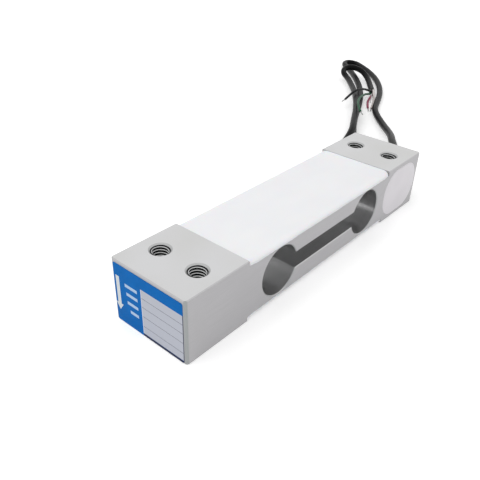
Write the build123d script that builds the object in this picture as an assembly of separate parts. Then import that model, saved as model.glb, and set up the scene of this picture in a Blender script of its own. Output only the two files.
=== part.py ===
from build123d import *
from math import pi, radians, sin, tan
import os

# Single point load cell: a bending beam of aluminium with a binocular cut-out.
# Millimetres. X runs along the beam, from the live end at -X to the cable end at +X.
# Y runs across it, with the wiring pocket on the -Y side. Z is up.
# The origin is the middle of the underside, so the part stands on Z = 0.

# Beam
BODY_LENGTH = 130.0
BODY_WIDTH = 30.0
BODY_HEIGHT = 22.0
END_BLOCK = 25.0            # full-height block at each end, up to the relief
RELIEF_DEPTH = 1.8          # milled down between the end blocks, above and below
CORNER_RADIUS = 1.0         # upright corners of the two end blocks
EDGE_BREAK = 0.25           # sharp edges taken off

# Binocular cut-out: two bores joined by a slot, right through the beam
WEB_THICKNESS = 0.7         # thinnest place, between a bore and the relief's floor
BORE_FROM_BLOCK = 15.0      # bore's centre from the end block beside it
SLOT_HEIGHT = 6.0

# M6 fixing holes, bored here to the thread's major diameter
THREAD_DIAMETER = 6.0
MOUTH_CHAMFER = 0.5
HOLE_SPACING = 15.0
HOLE_FROM_END = 12.0

# Wiring pocket in the -Y side of the cable end
POCKET_LENGTH = 22.0
POCKET_HEIGHT = 14.0
POCKET_DEPTH = 3.0
POCKET_CORNER = 5.0
POCKET_FROM_END = 14.0      # pocket's centre from the beam's end
POCKET_PAST_BOARD = 1.0     # from the board's far edge to the pocket's end wall
POCKET_CLEARANCE = 0.3      # between the board's corners and the pocket's wall
COVER_PAST_ENDS = 1.3       # how far the cover reaches past the pocket's ends
COVER_PAST_EDGES = 2.4      # and past its upper and lower edge
COVER_FLAT = 0.8            # half the straight stretch between two of its corners
COVER_THICKNESS = 0.25

# Ways drilled for the wires
WIRE_WAY_DIAMETER = 1.8
WIRE_WAY_SLOPE = 48.0       # degrees below the beam's length
WIRE_WAY_PAST_WALL = 1.2    # how far the way's centre runs in past the pocket's end wall
WIRE_WAY_BELOW_TOP = 2.9    # where it stops below the pocket's upper edge
WIRE_WAY_FROM_SIDE = 1.6    # way's centre from the beam's -Y side
CROSS_WAY_DIAMETER = 5.0
CROSS_WAY_TO_BOARD = 4.0    # cross way's centre to the board's near edge
CABLE_BORE_DIAMETER = 4.2
CABLE_BORE_PAST = 3.0       # how far the bore runs on past the cross way's centre

# Cable and its seal
CABLE_DIAMETER = 3.5
CABLE_SIDES = 10            # the cable is drawn as a ten-sided tube
CORE_SIDES = 8
CABLE_END_SHORT = 3.0       # how far the jacket stops short of the cross way's centre
SEAL_DIAMETER = 6.5
SEAL_LENGTH = 7.0
SEAL_NOSE = 2.5
SEAL_NOSE_DIAMETER = 4.8
SEAL_NOSE_BEVEL = 0.3
SEAL_CLEARANCE = 0.05       # round the cable
CORE_DIAMETER = 1.3
CORE_SPREAD = 0.75          # core centres from the cable's centre, across and up
DRAIN_DIAMETER = 0.5
TIP_DIAMETER = 0.6
TIP_LENGTH = 5.0

# White protective coat over the gauges
COAT_THICKNESS = 0.85
COAT_SHOULDER = 0.3         # height of the coat's side at the beam's edge
COAT_SHOULDER_WIDTH = 1.6
COAT_CROWN = 0.12
COAT_CORNER = 3.0

# Gauges, terminal strips and their wires
GAUGE_LENGTH = 10.0
GAUGE_WIDTH = 6.4
BACKING_THICKNESS = 0.1
FOIL_THICKNESS = 0.05
GRID_LENGTH = 4.8
GRID_STRANDS = 6
STRAND_WIDTH = 0.28
STRAND_PITCH = 0.56
TAB_LENGTH = 1.6
TAB_WIDTH = 1.5
TAB_SPACING = 3.2
STRIP_X = 0.0
STRIP_LENGTH = 9.0
STRIP_WIDTH = 8.0
OUTPUT_PAD_PITCH = 2.0      # between the three pads on the strip's -Y edge
WIRE_DIAMETER = 0.4
WIRE_PITCH = 0.55           # between wires that run side by side
WIRE_SIDES = 8              # thin wires and leads are eight-sided
POURED_CLEARANCE = 0.02     # round the wires in the coat and the compound
WIRE_RUN_IN = 3.5           # straight wire between a gauge's tab, or a pad, and its slant
RESISTOR_LENGTH = 3.2
RESISTOR_WIDTH = 1.6
RESISTOR_HEIGHT = 0.5

# Terminal board in the pocket
BOARD_LENGTH = 11.0
BOARD_EDGE_GAP = 0.7        # to the pocket's upper and lower edge
BOARD_THICKNESS = 0.5
SOLDER_MARGIN = 0.1         # solder round a wire or lead
LEAD_DIAMETER = 0.9
LEAD_SPREAD = 0.6           # lead centres from the cable's centre, across and up
LEAD_NEAR_LEVEL = 0.6       # lead centre above the board
LEAD_FAR_LEVEL = 1.55
LEAD_PAD_IN = 3.5           # pads from the board's near edge
OUTER_LEAD_RISE = 2.0       # outer pads from the cable's centre, up and down
WIRE_PAD_IN = 1.2
WIRE_PAD_FIRST = 3.0        # wire pads from the beam's mid-height
WIRE_PAD_PITCH = 0.9
LEAD_SLANT = 1.0            # half the length in which an outer lead spreads to its pad

# End label
LABEL_SIDE_MARGIN = 1.0
LABEL_TOP_MARGIN = 1.05
LABEL_BOTTOM = 0.35
LABEL_CORNER = 0.6
LABEL_THICKNESS = 0.1

HALF_LENGTH = BODY_LENGTH / 2
HALF_WIDTH = BODY_WIDTH / 2
MID_HEIGHT = BODY_HEIGHT / 2
RELIEF_LENGTH = BODY_LENGTH - 2 * END_BLOCK
FLOOR_Z = BODY_HEIGHT - RELIEF_DEPTH
BORE_DIAMETER = BODY_HEIGHT - 2 * (RELIEF_DEPTH + WEB_THICKNESS)
BORE_SPACING = RELIEF_LENGTH - 2 * BORE_FROM_BLOCK
MID_PLANE = Plane.XY.offset(MID_HEIGHT)
POCKET_CENTRE_X = HALF_LENGTH - POCKET_FROM_END
POCKET_START_X = POCKET_CENTRE_X - POCKET_LENGTH / 2
POCKET_FLOOR_Y = -HALF_WIDTH + POCKET_DEPTH
COVER_LENGTH = POCKET_LENGTH + 2 * COVER_PAST_ENDS
COVER_HEIGHT = POCKET_HEIGHT + 2 * COVER_PAST_EDGES
COVER_CORNER = COVER_HEIGHT / 2 - COVER_FLAT
BOARD_HEIGHT = POCKET_HEIGHT - 2 * BOARD_EDGE_GAP
BOARD_FACE_Y = POCKET_FLOOR_Y - BOARD_THICKNESS
BOARD_START_X = POCKET_CENTRE_X + POCKET_LENGTH / 2 - POCKET_PAST_BOARD - BOARD_LENGTH
WIRE_PAD_X = BOARD_START_X + WIRE_PAD_IN
LEAD_PAD_X = BOARD_START_X + LEAD_PAD_IN
CROSS_WAY_X = BOARD_START_X - CROSS_WAY_TO_BOARD
CABLE_BORE_END_X = CROSS_WAY_X - CABLE_BORE_PAST
CABLE_END_X = CROSS_WAY_X + CABLE_END_SHORT
LABEL_WIDTH = BODY_WIDTH - 2 * LABEL_SIDE_MARGIN
LABEL_HEIGHT = BODY_HEIGHT - LABEL_BOTTOM - LABEL_TOP_MARGIN
CABLE_RADIUS = CABLE_DIAMETER / 2
CORE_RADIUS = CORE_DIAMETER / 2
PAST = 1.0                  # how far cutting shapes run past a face

# Wires on the floor lie on top of the foil, so all of them keep this height.
WIRE_Z = FLOOR_Z + BACKING_THICKNESS + FOIL_THICKNESS + WIRE_DIAMETER / 2
WIRE_WAY_Y = -HALF_WIDTH + WIRE_WAY_FROM_SIDE
WIRE_WAY_END_X = POCKET_START_X + WIRE_WAY_PAST_WALL
WIRE_WAY_END_Z = MID_HEIGHT + POCKET_HEIGHT / 2 - WIRE_WAY_BELOW_TOP
WIRE_WAY_MOUTH_X = WIRE_WAY_END_X - (FLOOR_Z - WIRE_WAY_END_Z) / tan(radians(WIRE_WAY_SLOPE))
OUTPUT_PAD_Y = (TAB_WIDTH - STRIP_WIDTH) / 2

# Which corner of the cable each core comes from at the board: across, then up.
LEAD_PLACES = {"white": (1, 1), "green": (1, -1), "red": (-1, 1), "black": (-1, -1)}

# The cable lies on the surface under the beam, folded into a flat hank of four runs.
# The third run lies on the second one, and the last fold climbs over both of them.
LIES = CABLE_RADIUS
CABLE_ROUTE = [
    (CABLE_END_X, 0, MID_HEIGHT), (61, 0, MID_HEIGHT + 0.04), (74, 0, MID_HEIGHT), (85.5, 5, 10.4),
    (97, 12.4, 9), (107.2, 18, 6.9), (116.5, 23.8, 4.6), (129, 33.6, 2.4), (141.2, 44.3, LIES),
    (151, 51.6, LIES), (164.9, 57.3, LIES), (178.2, 63.2, LIES), (192, 71.4, LIES),
    (205.2, 81.9, LIES), (215.9, 93.3, LIES), (223.2, 103.5, LIES), (228, 111, LIES),
    (226.5, 117.2, LIES), (220.2, 116.4, LIES), (213.7, 109, LIES), (205, 100, LIES),
    (193.3, 89.2, LIES), (178, 77.3, LIES), (161.4, 67.2, LIES), (146, 59.3, LIES),
    (132.7, 53.2, LIES), (121.4, 47.4, LIES), (110, 40.9, LIES), (98.5, 32, LIES),
    (91, 21.5, LIES), (81.5, 16.2, LIES), (72.8, 20, LIES), (71.8, 29, LIES), (79, 34, LIES),
    (91.5, 34.6, 3.2), (104.3, 38.2, 5.4), (115.9, 44.5, 5.5), (129.2, 51.4, 5.5),
    (143.8, 59.8, 5.1), (160.3, 70.6, 4.2), (178.3, 84.2, 2.8), (187.4, 92.6, 3.2),
    (191, 98.9, 5), (196.2, 101, 6.6), (201, 97.6, 6.9), (201.6, 91, 6), (197.6, 84, 3.6),
    (188.8, 76.4, LIES), (178.6, 69.2, LIES),
]

# Each core leaves the jacket's cut end at its own corner of a small square and runs straight
# out at first. Corner: across, then up, in units of CORE_SPREAD. The rest is points.
CORE_STRAIGHT = 3.0
CORE_LIES = CORE_RADIUS
CORE_ROUTES = {
    "white": ((1, 1), [(173.1, 64.8, 1.9), (169.1, 61.9, 1.0), (161.2, 58.2, CORE_LIES),
                       (153.1, 54.7, CORE_LIES)]),
    "red": ((1, -1), [(173.6, 66.3, 1.0), (167.2, 64.4, CORE_LIES), (159.2, 61.0, CORE_LIES),
                      (152.2, 56.4, CORE_LIES)]),
    "green": ((-1, -1), [(164.5, 65.5, 4.2), (148.7, 60.1, 7.6), (138.7, 56.2, 8.5),
                         (130.5, 51.0, 8.5), (126.7, 47.2, 7.4)]),
    "black": ((-1, 1), [(170.0, 68.9, 5.0), (160.3, 67.3, 7.8), (154.2, 67.5, 8.0),
                        (150.4, 68.6, 6.0), (144.1, 67.5, 5.3)]),
}
DRAIN_ROUTE = [(169.6, 64.3, 2.8), (162.9, 60.9, 2.7), (156.9, 57.8, 2.2)]


def corner_radii(points):
    """Largest easy bend at each corner: 0.45 of the shorter run over the tangent of half the turn."""
    radii = []
    for before, corner, after in zip(points, points[1:], points[2:]):
        arriving = Vector(*corner) - Vector(*before)
        leaving = Vector(*after) - Vector(*corner)
        half_turn = radians(arriving.get_angle(leaving)) / 2
        radii.append(0.45 * min(arriving.length, leaving.length) / tan(half_turn))
    return radii


def tube(points, diameter, sides):
    """Many-sided tube along straight runs that are joined by tangent arcs."""
    path = FilletPolyline(*points, radius=corner_radii(points))
    section = Plane(origin=path @ 0, z_dir=path % 0) * RegularPolygon(diameter / 2, sides)
    return sweep(section, path=path)


def mitred(points, section):
    """Section carried along straight runs with mitred corners, its second direction upright."""
    path = Polyline(*points)
    across = Vector(0, 0, 1).cross(path % 0)
    start = Plane(origin=path @ 0, x_dir=across, z_dir=path % 0)
    return sweep(start * section, path=path, transition=Transition.RIGHT)


def wire(points, diameter):
    return mitred(points, RegularPolygon(diameter / 2, WIRE_SIDES, rotation=180 / WIRE_SIDES))


def channel(points, diameter):
    """Square room round a wire, for cutting it out of what is poured over it."""
    width = diameter + 2 * POURED_CLEARANCE
    return mitred(points, Rectangle(width, width))


def bar(length, width, height, x, y, z):
    """Box with its lowest face at z."""
    return Pos(x, y, z) * Box(length, width, height, align=(Align.CENTER, Align.CENTER, Align.MIN))


def side_prism(outline, start_y, depth):
    """Outline in X and Z, drawn about its own centre, pushed from start_y towards +Y."""
    return extrude(Plane((0, start_y, 0), x_dir=(1, 0, 0), z_dir=(0, 1, 0)) * outline, depth)


def binocular_cut():
    """Two bores and the slot that joins them, with the edge break at both sides."""
    outline = Rectangle(BORE_SPACING, SLOT_HEIGHT)
    for end in (-1, 1):
        outline += Pos(end * BORE_SPACING / 2, 0) * Circle(BORE_DIAMETER / 2)
    cut = Pos(0, 0, MID_HEIGHT) * side_prism(outline, -HALF_WIDTH - PAST, BODY_WIDTH + 2 * PAST)
    for side in (-1, 1):
        wide = offset(outline, EDGE_BREAK, kind=Kind.INTERSECTION)
        face = Plane((0, side * HALF_WIDTH, MID_HEIGHT), x_dir=(1, 0, 0), z_dir=(0, -side, 0))
        cut += extrude(face * wide, EDGE_BREAK, taper=45)
    return cut


def fixing_hole(x, y):
    """Through hole with a chamfered mouth above and below."""
    radius = THREAD_DIAMETER / 2
    hole = Cylinder(radius, BODY_HEIGHT + 2 * PAST)
    for side in (-1, 1):
        cone = Cone(radius, radius + MOUTH_CHAMFER, MOUTH_CHAMFER)
        mouth = Pos(0, 0, MID_HEIGHT - MOUTH_CHAMFER / 2) * cone
        hole += mouth if side > 0 else mirror(mouth, about=Plane.XY)
    return Pos(x, y, MID_HEIGHT) * hole


def wire_way(up):
    """Sloping drilled way from the relief's floor to the pocket; up is 1 above, -1 below."""
    start = Vector(WIRE_WAY_MOUTH_X, WIRE_WAY_Y, FLOOR_Z)
    run = Vector(WIRE_WAY_END_X, WIRE_WAY_Y, WIRE_WAY_END_Z) - start
    slope = run.normalized()
    way = Plane(origin=start - slope * PAST, z_dir=slope) * Circle(WIRE_WAY_DIAMETER / 2)
    drilled = extrude(way, PAST + run.length)
    return drilled if up > 0 else mirror(drilled, about=MID_PLANE)


def cable_ways():
    """Cable bore from the end face, and the cross way that joins it to the pocket."""
    bore_length = HALF_LENGTH - CABLE_BORE_END_X
    bore = Rot(0, 90, 0) * Cylinder(CABLE_BORE_DIAMETER / 2, bore_length)
    ways = Pos(CABLE_BORE_END_X + bore_length / 2, 0, MID_HEIGHT) * bore
    cross = Rot(90, 0, 0) * Cylinder(CROSS_WAY_DIAMETER / 2, -POCKET_FLOOR_Y)
    return ways + Pos(CROSS_WAY_X, POCKET_FLOOR_Y / 2, MID_HEIGHT) * cross


def pocket():
    outline = RectangleRounded(POCKET_LENGTH, POCKET_HEIGHT, POCKET_CORNER)
    return Pos(POCKET_CENTRE_X, 0, MID_HEIGHT) * side_prism(outline, -HALF_WIDTH, POCKET_DEPTH)


def spring_element():
    """The beam: relieved above and below, with every hole, way and pocket."""
    beam = bar(BODY_LENGTH, BODY_WIDTH, BODY_HEIGHT, 0, 0, 0)
    beam = fillet(beam.edges().filter_by(Axis.Z), CORNER_RADIUS)
    flats = beam.faces().sort_by(Axis.Z)
    beam = chamfer(flats[0].edges() + flats[-1].edges(), EDGE_BREAK)
    beam -= bar(RELIEF_LENGTH, BODY_WIDTH, RELIEF_DEPTH, 0, 0, FLOOR_Z)
    beam -= bar(RELIEF_LENGTH, BODY_WIDTH, RELIEF_DEPTH, 0, 0, 0)
    beam -= binocular_cut()
    for end in (-1, 1):
        for side in (-1, 1):
            beam -= fixing_hole(end * (HALF_LENGTH - HOLE_FROM_END), side * HOLE_SPACING / 2)
    seat = Rot(0, 90, 0) * Cylinder(SEAL_DIAMETER / 2, SEAL_LENGTH)
    beam -= Pos(HALF_LENGTH - SEAL_LENGTH / 2, 0, MID_HEIGHT) * seat
    return beam - pocket() - cable_ways() - wire_way(1) - wire_way(-1)


def gauge(x, tab_side):
    """Foil strain gauge on the upper floor: backing, folded grid and two solder tabs."""
    backing = bar(GAUGE_LENGTH, GAUGE_WIDTH, BACKING_THICKNESS, x, 0, FLOOR_Z)
    foil_z = FLOOR_Z + BACKING_THICKNESS
    grid_x = x - tab_side * (GAUGE_LENGTH - GRID_LENGTH) / 4
    for strand in range(GRID_STRANDS):
        y = (strand - (GRID_STRANDS - 1) / 2) * STRAND_PITCH
        backing += bar(GRID_LENGTH, STRAND_WIDTH, FOIL_THICKNESS, grid_x, y, foil_z)
        if strand < GRID_STRANDS - 1:
            turn_end = tab_side if strand % 2 else -tab_side
            turn_x = grid_x + turn_end * (GRID_LENGTH - STRAND_WIDTH) / 2
            turn = bar(STRAND_WIDTH, STRAND_PITCH, FOIL_THICKNESS, turn_x, y + STRAND_PITCH / 2, foil_z)
            backing += turn
    for side in (-1, 1):
        backing += bar(TAB_LENGTH, TAB_WIDTH, FOIL_THICKNESS, tab_x(x, tab_side),
                       side * TAB_SPACING / 2, foil_z)
    return backing


def tab_x(x, tab_side):
    return x + tab_side * (GAUGE_LENGTH - TAB_LENGTH) / 2


def terminal_strip():
    """Thin strip with three solder pads at each end and three along its -Y edge."""
    strip = bar(STRIP_LENGTH, STRIP_WIDTH, BACKING_THICKNESS, STRIP_X, 0, FLOOR_Z)
    foil_z = FLOOR_Z + BACKING_THICKNESS
    for row in (-1, 0, 1):
        for end in (-1, 1):
            strip += bar(TAB_LENGTH, TAB_WIDTH, FOIL_THICKNESS, strip_pad_x(end),
                         row * STRIP_WIDTH / 3, foil_z)
        strip += bar(TAB_LENGTH, TAB_WIDTH, FOIL_THICKNESS, STRIP_X + row * OUTPUT_PAD_PITCH,
                     OUTPUT_PAD_Y, foil_z)
    return strip


def strip_pad_x(end):
    return STRIP_X + end * (STRIP_LENGTH - TAB_LENGTH) / 2


def floor_resistor():
    """Small resistor across the middle of the terminal strip."""
    return bar(RESISTOR_LENGTH, RESISTOR_WIDTH, RESISTOR_HEIGHT, STRIP_X, 0,
               FLOOR_Z + BACKING_THICKNESS)


def bridge_routes():
    """Routes of the upper floor's wires: gauges to the strip, then three into the pocket."""
    routes = []
    row = STRIP_WIDTH / 3
    live_tab = tab_x(-BORE_SPACING / 2, 1)
    fixed_tab = tab_x(BORE_SPACING / 2, -1)
    for side in (-1, 1):
        tab_y = side * TAB_SPACING / 2
        routes.append([(live_tab, tab_y, WIRE_Z),
                      (strip_pad_x(-1) - WIRE_RUN_IN, tab_y, WIRE_Z),
                      (strip_pad_x(-1), side * row, WIRE_Z)])
        routes.append([(fixed_tab, tab_y, WIRE_Z), (fixed_tab - WIRE_RUN_IN, tab_y, WIRE_Z),
                      (strip_pad_x(1), side * row, WIRE_Z)])
    slope = radians(WIRE_WAY_SLOPE)
    dip_x = WIRE_WAY_MOUTH_X - (WIRE_Z - FLOOR_Z) / tan(slope)
    for lane in (-1, 0, 1):
        way_y = WIRE_WAY_Y + lane * WIRE_PITCH
        start_x = STRIP_X + lane * OUTPUT_PAD_PITCH
        pad_z = wire_pad_z(lane)
        foot_x = WIRE_WAY_MOUTH_X + (FLOOR_Z - pad_z) / tan(slope)
        routes.append([(start_x, OUTPUT_PAD_Y, WIRE_Z), (start_x, way_y, WIRE_Z),
                      (dip_x, way_y, WIRE_Z), (foot_x, way_y, pad_z),
                      (WIRE_PAD_X, way_y, pad_z)])
    return routes


def wire_pad_z(lane):
    return MID_HEIGHT + WIRE_PAD_FIRST + (lane + 1) * WIRE_PAD_PITCH


def gauge_coat(inside):
    """Crowned white coat of the upper relief, poured over what lies on its floor."""
    top = FLOOR_Z + COAT_THICKNESS
    shoulder = HALF_WIDTH - COAT_SHOULDER_WIDTH
    edge_z = FLOOR_Z + COAT_SHOULDER
    bulge = (HALF_WIDTH - COAT_SHOULDER_WIDTH * 0.35, (edge_z + top) / 2 + COAT_SHOULDER * 0.45)
    profile = Polyline((-HALF_WIDTH, edge_z), (-HALF_WIDTH, FLOOR_Z), (HALF_WIDTH, FLOOR_Z),
                       (HALF_WIDTH, edge_z))
    profile += ThreePointArc((HALF_WIDTH, edge_z), bulge, (shoulder, top))
    profile += ThreePointArc((shoulder, top), (0, top + COAT_CROWN), (-shoulder, top))
    profile += ThreePointArc((-shoulder, top), (-bulge[0], bulge[1]), (-HALF_WIDTH, edge_z))
    across = Plane((-RELIEF_LENGTH / 2, 0, 0), x_dir=(0, 1, 0), z_dir=(1, 0, 0))
    coat = extrude(across * make_face(profile), RELIEF_LENGTH)
    plan = RectangleRounded(RELIEF_LENGTH, BODY_WIDTH, COAT_CORNER)
    coat &= Pos(0, 0, FLOOR_Z - PAST) * extrude(plan, BODY_HEIGHT)
    for piece in inside:
        coat -= piece
    return coat


def pocket_board():
    """Terminal board on the pocket's floor, its corners cut to the pocket's own."""
    room = RectangleRounded(POCKET_LENGTH - 2 * POCKET_CLEARANCE,
                            POCKET_HEIGHT - 2 * POCKET_CLEARANCE,
                            POCKET_CORNER - POCKET_CLEARANCE)
    middle_x = BOARD_START_X + BOARD_LENGTH / 2 - POCKET_CENTRE_X
    outline = room & Pos(middle_x, 0) * Rectangle(BOARD_LENGTH, BOARD_HEIGHT)
    board = side_prism(outline, BOARD_FACE_Y, BOARD_THICKNESS)
    return Pos(POCKET_CENTRE_X, 0, MID_HEIGHT) * board


def board_resistor(up):
    """Trim resistor that stands on the board, above or below its middle."""
    x = BOARD_START_X + BOARD_LENGTH - RESISTOR_WIDTH * 1.5
    return Pos(x, BOARD_FACE_Y - RESISTOR_HEIGHT / 2, MID_HEIGHT + up * BOARD_HEIGHT / 4) * Box(
        RESISTOR_WIDTH, RESISTOR_HEIGHT, RESISTOR_LENGTH)


def lead_rise(across):
    """Height of a lead's pad above or below the beam's middle: outer leads spread out."""
    return OUTER_LEAD_RISE if across > 0 else LEAD_SPREAD


def lead_level(across):
    return LEAD_FAR_LEVEL if across > 0 else LEAD_NEAR_LEVEL


def lead_route(across, up):
    """Route of one core from the cable's inner end to the board, nested so that none cross.

    across and up say which corner of the cable it comes from.
    """
    y = across * LEAD_SPREAD
    z = MID_HEIGHT + up * LEAD_SPREAD
    level = BOARD_FACE_Y - lead_level(across)
    points = [(CABLE_END_X, y, z), (CROSS_WAY_X - y, y, z), (CROSS_WAY_X - y, level, z)]
    if across < 0:
        return points + [(LEAD_PAD_X, level, z)]
    pad_z = MID_HEIGHT + up * lead_rise(across)
    return points + [(BOARD_START_X - LEAD_SLANT, level, z),
                     (BOARD_START_X + LEAD_SLANT, level, pad_z), (LEAD_PAD_X, level, pad_z)]


def solder_dot(x, z, height, radius):
    """Upright dot of solder between the board's face and what lies on it."""
    return Pos(x, 0, z) * side_prism(RegularPolygon(radius, WIRE_SIDES), BOARD_FACE_Y - height, height)


def solder_dots():
    """One dot for each wire and lead that ends on the board."""
    dots = []
    for lane in (-1, 0, 1):
        height = BOARD_FACE_Y - WIRE_WAY_Y - lane * WIRE_PITCH - WIRE_DIAMETER / 2
        dot = solder_dot(WIRE_PAD_X, wire_pad_z(lane), height, WIRE_DIAMETER / 2 + SOLDER_MARGIN)
        dots += [dot, mirror(dot, about=MID_PLANE)]
    for across, up in LEAD_PLACES.values():
        dots.append(solder_dot(LEAD_PAD_X, MID_HEIGHT + up * lead_rise(across),
                               lead_level(across) - LEAD_DIAMETER / 2,
                               LEAD_DIAMETER / 2 + SOLDER_MARGIN))
    return dots


def pocket_potting(inside):
    """Compound that fills the pocket, the sloping ways and the cross way round the wires."""
    relief = bar(RELIEF_LENGTH * 2, BODY_WIDTH, FLOOR_Z - RELIEF_DEPTH, 0, 0, RELIEF_DEPTH)
    short_bore = Rot(0, 90, 0) * Cylinder(CABLE_BORE_DIAMETER / 2, CABLE_END_X - CABLE_BORE_END_X)
    cross = Rot(90, 0, 0) * Cylinder(CROSS_WAY_DIAMETER / 2, -POCKET_FLOOR_Y)
    fill = pocket() + Pos(CROSS_WAY_X, POCKET_FLOOR_Y / 2, MID_HEIGHT) * cross
    fill += Pos((CABLE_END_X + CABLE_BORE_END_X) / 2, 0, MID_HEIGHT) * short_bore
    fill += (wire_way(1) + wire_way(-1)) & relief
    for piece in inside:
        fill -= piece
    return fill


def pocket_cover():
    """Thin round-cornered cover stuck over the pocket."""
    outline = RectangleRounded(COVER_LENGTH, COVER_HEIGHT, COVER_CORNER)
    cover = side_prism(outline, -HALF_WIDTH - COVER_THICKNESS, COVER_THICKNESS)
    return Pos(POCKET_CENTRE_X, 0, MID_HEIGHT) * cover


def cable_seal():
    """Moulded bush in the end face, with a tapered nose round the cable."""
    bore = CABLE_RADIUS + SEAL_CLEARANCE
    outer = SEAL_DIAMETER / 2
    nose = SEAL_NOSE_DIAMETER / 2
    tip = SEAL_LENGTH + SEAL_NOSE
    profile = Polyline((bore, 0), (outer, 0), (outer, SEAL_LENGTH), (nose, tip - SEAL_NOSE_BEVEL),
                       (nose - SEAL_NOSE_BEVEL, tip), (bore, tip), (bore, 0))
    turned = revolve(Plane.XZ * make_face(profile), Axis.Z)
    return Pos(HALF_LENGTH - SEAL_LENGTH, 0, MID_HEIGHT) * Rot(0, 90, 0) * turned


def end_label():
    outline = RectangleRounded(LABEL_WIDTH, LABEL_HEIGHT, LABEL_CORNER)
    face = Plane((-HALF_LENGTH, 0, LABEL_BOTTOM + LABEL_HEIGHT / 2), x_dir=(0, -1, 0),
                 z_dir=(-1, 0, 0))
    return extrude(face * outline, LABEL_THICKNESS)


def cut_end():
    """Centre of the jacket's cut end, and the directions along and across it."""
    end = Vector(*CABLE_ROUTE[-1])
    along = (end - Vector(*CABLE_ROUTE[-2])).normalized()
    across = Vector(0, 0, 1).cross(along).normalized()
    return end, along, across, along.cross(across)


def loose_route(side, up, points):
    """Route from its own corner of the jacket's cut end, straight out at first."""
    end, along, across, upward = cut_end()
    start = end + across * (side * CORE_SPREAD) + upward * (up * CORE_SPREAD)
    return [tuple(start), tuple(start + along * CORE_STRAIGHT)] + points


def core_points(colour):
    (side, up), points = CORE_ROUTES[colour]
    return loose_route(side, up, points)


def wire_tip(points):
    """Bare tinned end that carries a core's line on past its insulation."""
    last = Vector(*points[-1])
    along = (last - Vector(*points[-2])).normalized()
    level = Vector(along.X, along.Y, 0).normalized()
    section = RegularPolygon(TIP_DIAMETER / 2, CORE_SIDES)
    return extrude(Plane(origin=last, z_dir=level) * section, TIP_LENGTH)


def as_node(pieces):
    solids = [solid for piece in pieces for solid in piece.solids()]
    return solids[0] if len(solids) == 1 else Compound(children=solids)


def build():
    routes = bridge_routes()
    upper_wires = [wire(points, WIRE_DIAMETER) for points in routes]
    lower_wires = [mirror(piece, about=MID_PLANE) for piece in upper_wires]
    upper_channels = [channel(points, WIRE_DIAMETER) for points in routes]
    lower_channels = [mirror(piece, about=MID_PLANE) for piece in upper_channels[-3:]]
    upper = {
        "gauge_top_live": gauge(-BORE_SPACING / 2, 1),
        "gauge_top_fixed": gauge(BORE_SPACING / 2, -1),
        "upper_terminal_strip": terminal_strip(),
        "balance_resistor": floor_resistor(),
    }
    lower_names = ("gauge_bottom_live", "gauge_bottom_fixed", "lower_terminal_strip",
                   "modulus_resistor")
    lower = {name: mirror(piece, about=MID_PLANE) for name, piece in zip(lower_names, upper.values())}
    coat = gauge_coat(list(upper.values()) + upper_channels)
    board = pocket_board()
    trims = {"span_trim_resistor": board_resistor(1), "zero_trim_resistor": board_resistor(-1)}
    dots = solder_dots()
    potted = [board] + list(trims.values()) + dots + upper_channels[-3:] + lower_channels
    potted += [channel(lead_route(*place), LEAD_DIAMETER) for place in LEAD_PLACES.values()]

    nodes = {"spring_element": [spring_element()]}
    nodes["upper_gauge_coat"] = [coat]
    nodes["lower_gauge_coat"] = [mirror(coat, about=MID_PLANE)]
    nodes["upper_bridge_wires"] = upper_wires
    nodes["lower_bridge_wires"] = lower_wires
    for name, piece in {**upper, **lower, **trims}.items():
        nodes[name] = [piece]
    nodes["pocket_board"] = [board]
    nodes["pocket_solder_joints"] = dots
    for colour, place in LEAD_PLACES.items():
        nodes[f"inner_lead_{colour}"] = [wire(lead_route(*place), LEAD_DIAMETER)]
    nodes["pocket_potting"] = [pocket_potting(potted)]
    nodes["pocket_cover"] = [pocket_cover()]
    nodes["cable_seal"] = [cable_seal()]
    nodes["end_label"] = [end_label()]
    nodes["cable_jacket"] = [tube(CABLE_ROUTE, CABLE_DIAMETER, CABLE_SIDES)]
    for colour in CORE_ROUTES:
        points = core_points(colour)
        nodes[f"core_{colour}"] = [tube(points, CORE_DIAMETER, CORE_SIDES)]
        nodes[f"core_tip_{colour}"] = [wire_tip(points)]
    nodes["drain_wire"] = [tube(loose_route(0, 0, DRAIN_ROUTE), DRAIN_DIAMETER, CORE_SIDES)]
    return {name: as_node(pieces) for name, pieces in nodes.items()}


def report_bends():
    for name, points in [("cable", CABLE_ROUTE)] + [(c, core_points(c)) for c in CORE_ROUTES]:
        print(name, "bend radii", [round(radius, 1) for radius in corner_radii(points)])
    path = FilletPolyline(*CABLE_ROUTE, radius=corner_radii(CABLE_ROUTE))
    section = CABLE_SIDES / 2 * CABLE_RADIUS ** 2 * sin(2 * pi / CABLE_SIDES)
    print("cable length", round(path.length, 1), "volume by section", round(path.length * section, 1))


if __name__ == "__main__":
    os.makedirs("parts", exist_ok=True)
    for node, shape in build().items():
        export_step(shape, f"parts/{node}.step")
        print(node, len(shape.solids()), "solids", round(shape.volume, 2), "mm3")
    report_bends()
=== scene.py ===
"""Looks of a single point load cell: a satin aluminium beam with white coats over its gauges, a
printed label, a stuck-on pocket cover, tapped holes, and a folded cable with bare cores.

X runs along the beam towards the cable end, Y across it and Z up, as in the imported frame.
Sizes here are in millimetres, and every mesh is written in metres.
"""

import bpy
import numpy as np
from mathutils import Matrix, Vector


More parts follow.
